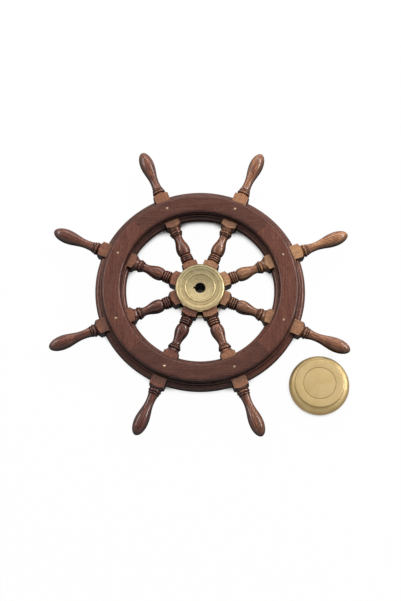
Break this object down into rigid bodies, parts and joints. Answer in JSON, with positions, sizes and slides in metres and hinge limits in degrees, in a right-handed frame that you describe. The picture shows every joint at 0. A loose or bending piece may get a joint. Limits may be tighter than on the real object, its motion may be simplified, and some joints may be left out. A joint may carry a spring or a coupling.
{
  "type": "boat steering wheel",
  "caption": "Traditional turned hardwood steering wheel for a boat, with a layered moulded rim, handled spokes, a keyed brass hub and its loose brass cap.",
  "frame": {"origin": "centre of the hub on the wheel's axis, half way through the depth of the spokes", "axes": "+Z along the wheel's axis towards its front face, which lies up; +X half way between two spokes, on the side away from the keyway; the wheel lies on its back with its cap beside it"},
  "size_m": [0.5554, 0.5554, 0.0527],
  "materials": {
    "rim_wood": "dark red-brown mahogany, stained and varnished",
    "spoke_wood": "turned hardwood, lighter brown, varnished",
    "hub_brass": "turned brass, bright, lightly brushed round",
    "cap_brass": "spun brass, satin",
    "screw_brass": "brass, bright heads"
  },
  "bodies": {
    "root": {"back_ring_1": "rim_wood", "back_ring_2": "rim_wood", "back_ring_3": "rim_wood", "back_ring_4": "rim_wood", "felloe_1": "rim_wood", "felloe_2": "rim_wood", "felloe_3": "rim_wood", "felloe_4": "rim_wood", "felloe_5": "rim_wood", "felloe_6": "rim_wood", "felloe_7": "rim_wood", "felloe_8": "rim_wood", "front_ring_1": "rim_wood", "front_ring_2": "rim_wood", "front_ring_3": "rim_wood", "front_ring_4": "rim_wood", "hub_back_plate": "hub_brass", "hub_cap": "cap_brass", "hub_flange": "hub_brass", "hub_screws": "screw_brass", "rim_screws_back": "screw_brass", "rim_screws_front": "screw_brass", "spoke_1": "spoke_wood", "spoke_2": "spoke_wood", "spoke_3": "spoke_wood", "spoke_4": "spoke_wood", "spoke_5": "spoke_wood", "spoke_6": "spoke_wood", "spoke_7": "spoke_wood", "spoke_8": "spoke_wood"}
  },
  "joints": []
}
